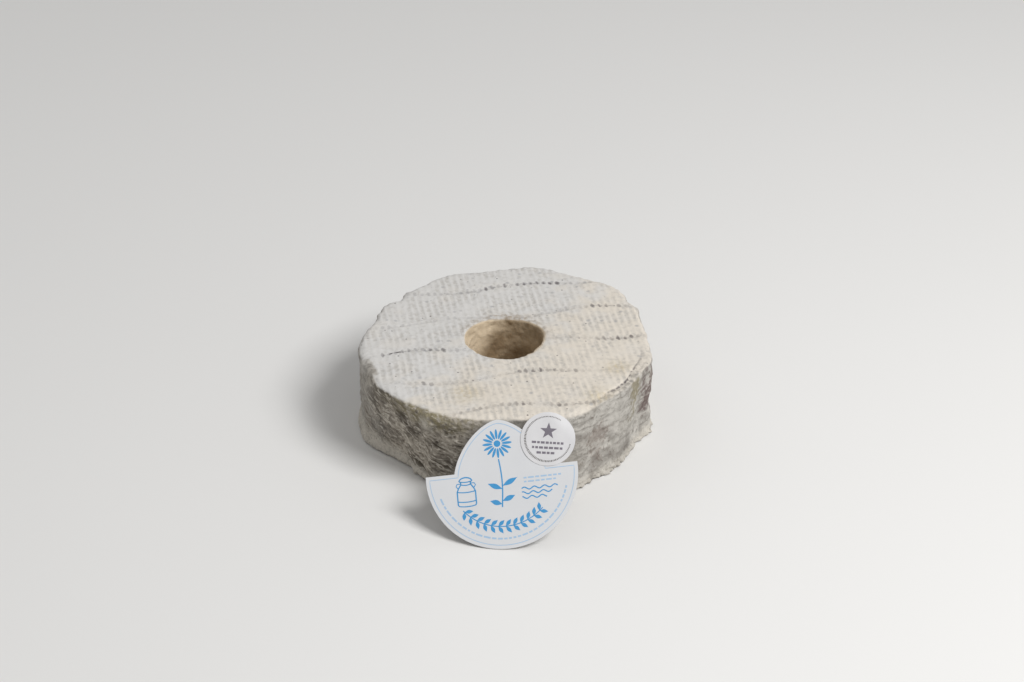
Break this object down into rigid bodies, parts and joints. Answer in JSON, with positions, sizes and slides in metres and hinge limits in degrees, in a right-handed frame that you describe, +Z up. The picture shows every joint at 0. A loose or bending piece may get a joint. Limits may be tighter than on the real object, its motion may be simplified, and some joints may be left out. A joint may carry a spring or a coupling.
{
  "type": "goat cheese ring",
  "caption": "Short round ripened goat cheese with a hole down its middle, and a die-cut card label with a round sticker leaning on its rim.",
  "frame": {"origin": "middle of the footprint of the whole, cheese and leaning label, on the surface that it stands on", "axes": "+Z up along the cheese's hole, -Y towards the side where the label leans, +X to the right as seen from there"},
  "size_m": [0.1028, 0.1344, 0.0332],
  "materials": {
    "ripened_rind": "matt, dry mould-ripened cheese rind: pale grey-cream with mat marks on top, grey-brown and wrinkled on the side",
    "printed_card": "smooth white card with blue print",
    "printed_sticker": "smooth white paper sticker with grey print"
  },
  "bodies": {
    "root": {"cheese_ring": "ripened_rind", "label": "printed_card", "round_sticker": "printed_sticker"}
  },
  "joints": []
}
